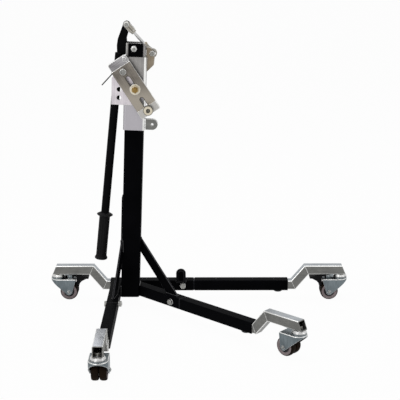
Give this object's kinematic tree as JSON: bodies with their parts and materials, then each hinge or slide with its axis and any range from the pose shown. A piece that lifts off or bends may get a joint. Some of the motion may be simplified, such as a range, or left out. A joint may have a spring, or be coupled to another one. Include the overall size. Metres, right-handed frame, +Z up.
{
  "type": "motorcycle lift stand",
  "caption": "Castered stand with a leaning square mast, a hand lever that lifts a sliding carriage by a tie rod, and a tilting slotted plate with pins for a vehicle frame.",
  "frame": {"origin": "the point on the floor where the mast's centre line meets it", "axes": "+Z up, +X along the rear beam toward the long rear leg, -Y toward the frame pins"},
  "size_m": [0.798, 0.586, 0.7474],
  "materials": {
    "powder_coat": "satin black powder coat",
    "zinc": "zinc plated, satin",
    "bright_zinc": "bright zinc plated",
    "yellow_zinc": "yellow passivated zinc",
    "clevis_zinc": "pale yellow passivated zinc",
    "grip_rubber": "matt black rubber",
    "nylon": "natural nylon",
    "hub_plastic": "black moulded plastic",
    "pedal_plastic": "black moulded plastic",
    "tread": "grey rubber tread"
  },
  "bodies": {
    "stand": {"mast": "powder_coat", "mast_strip": "powder_coat", "rear_beam": "powder_coat", "leg_stubs": "powder_coat", "leg_braces": "powder_coat", "parking_lug": "powder_coat", "leg_tubes": "powder_coat", "leg_spigots": "zinc", "leg_bolts": "zinc", "clamp_screws": "hub_plastic", "head_cheeks": "zinc", "head_pads": "powder_coat", "pivot_bolt": "zinc", "pivot_spacers": "zinc"},
    "carriage": {"carriage_sleeve": "zinc", "slide_pads": "nylon", "lever_guide": "zinc", "rod_bracket": "zinc", "rod_bracket_bolt": "zinc", "carriage_lug": "zinc", "adapter_boss": "zinc"},
    "lever": {"lever_plate": "powder_coat", "handle_tube": "powder_coat", "handle_grip": "grip_rubber", "clevis_pin": "zinc"},
    "link": {"rod_clevis": "clevis_zinc", "tie_rod": "zinc", "rod_nuts": "zinc", "rod_end": "clevis_zinc"},
    "adapter_clamp": {"adapter_bolt": "yellow_zinc", "adapter_washer": "zinc"},
    "adapter": {"adapter_plate": "zinc", "upper_bar": "zinc", "upper_stud": "zinc", "spring_clip": "zinc"},
    "pin_carrier": {"lower_bar": "zinc", "lower_pin": "zinc"},
    "rear_arm": {"rear_arm": "zinc", "rear_stem": "bright_zinc"},
    "rear_caster": {"rear_fork": "zinc"},
    "rear_wheel": {"rear_hub": "hub_plastic", "rear_tyres": "tread"},
    "rear_brake": {"rear_pedal": "pedal_plastic"},
    "left_arm": {"left_arm": "zinc", "left_stem": "bright_zinc"},
    "left_caster": {"left_fork": "zinc"},
    "left_wheel": {"left_hub": "hub_plastic", "left_tyres": "tread"},
    "left_brake": {"left_pedal": "pedal_plastic"},
    "side_arm": {"side_arm": "zinc", "side_stem": "bright_zinc"},
    "side_caster": {"side_fork": "zinc"},
    "side_wheel": {"side_hub": "hub_plastic", "side_tyres": "tread"},
    "front_arm": {"front_arm": "zinc", "front_stem": "bright_zinc"},
    "front_caster": {"front_fork": "zinc"},
    "front_wheel": {"front_hub": "hub_plastic", "front_tyres": "tread"}
  },
  "joints": [
    {"name": "lever_swing", "type": "hinge", "parent": "stand", "child": "lever", "pos_m": [0.02333, 0, 0.68061], "axis": [0, 1, 0], "range_deg": [0, 70]},
    {"name": "carriage_slide", "type": "slide", "parent": "stand", "child": "carriage", "axis": [0.0401, 0, 0.9992], "range_m": [-0.04219, 0]},
    {"name": "link_hinge", "type": "hinge", "parent": "lever", "child": "link", "pos_m": [0.00464, 0, 0.73841], "axis": [0, 1, 0], "range_deg": [-22.93, 0]},
    {"name": "adapter_tilt", "type": "hinge", "parent": "carriage", "child": "adapter_clamp", "pos_m": [0.02569, -0.04655, 0.58244], "axis": [0, 1, 0], "range_deg": [-20, 35]},
    {"name": "adapter_slide", "type": "slide", "parent": "adapter_clamp", "child": "adapter", "axis": [0.5402, 0, -0.8415], "range_m": [0, 0.031]},
    {"name": "pin_slide", "type": "slide", "parent": "adapter", "child": "pin_carrier", "axis": [-0.5402, 0, 0.8415], "range_m": [0, 0.026]},
    {"name": "rear_arm_slide", "type": "slide", "parent": "stand", "child": "rear_arm", "axis": [1, 0, 0], "range_m": [-0.009, 0.035]},
    {"name": "rear_swivel", "type": "hinge", "parent": "rear_arm", "child": "rear_caster", "pos_m": [0.565, 0.0385, 0.059], "axis": [0, 0, 1], "continuous": true},
    {"name": "rear_roll", "type": "hinge", "parent": "rear_caster", "child": "rear_wheel", "pos_m": [0.5355, 0.0385, 0.024], "axis": [0, 1, 0], "continuous": true},
    {"name": "rear_brake_press", "type": "hinge", "parent": "rear_caster", "child": "rear_brake", "pos_m": [0.533, 0.0385, 0.0642], "axis": [0, -1, 0], "range_deg": [0, 4]},
    {"name": "left_arm_slide", "type": "slide", "parent": "stand", "child": "left_arm", "axis": [-1, 0, 0], "range_m": [-0.009, 0.035]},
    {"name": "left_swivel", "type": "hinge", "parent": "left_arm", "child": "left_caster", "pos_m": [-0.195, 0.0385, 0.059], "axis": [0, 0, 1], "continuous": true},
    {"name": "left_roll", "type": "hinge", "parent": "left_caster", "child": "left_wheel", "pos_m": [-0.1655, 0.0385, 0.024], "axis": [0, -1, 0], "continuous": true},
    {"name": "left_brake_press", "type": "hinge", "parent": "left_caster", "child": "left_brake", "pos_m": [-0.163, 0.0385, 0.0642], "axis": [0, 1, 0], "range_deg": [0, 4]},
    {"name": "side_arm_slide", "type": "slide", "parent": "stand", "child": "side_arm", "axis": [0.7361, -0.6769, 0], "range_m": [-0.002, 0.042]},
    {"name": "side_swivel", "type": "hinge", "parent": "side_arm", "child": "side_caster", "pos_m": [0.41658, -0.35657, 0.059], "axis": [0, 0, 1], "continuous": true},
    {"name": "side_roll", "type": "hinge", "parent": "side_caster", "child": "side_wheel", "pos_m": [0.39487, -0.33661, 0.024], "axis": [0.6769, 0.7361, 0], "continuous": true},
    {"name": "front_arm_slide", "type": "slide", "parent": "stand", "child": "front_arm", "axis": [0, -1, 0], "range_m": [-0.009, 0.035]},
    {"name": "front_swivel", "type": "hinge", "parent": "front_arm", "child": "front_caster", "pos_m": [-0.037, -0.504, 0.059], "axis": [0, 0, 1], "continuous": true},
    {"name": "front_roll", "type": "hinge", "parent": "front_caster", "child": "front_wheel", "pos_m": [-0.037, -0.4745, 0.024], "axis": [1, 0, 0], "continuous": true}
  ],
  "couplings": [
    {"joint": "carriage_slide", "follows": "lever_swing", "m_per_rad": -0.034532},
    {"joint": "link_hinge", "follows": "lever_swing", "ratio": -0.3275}
  ]
}
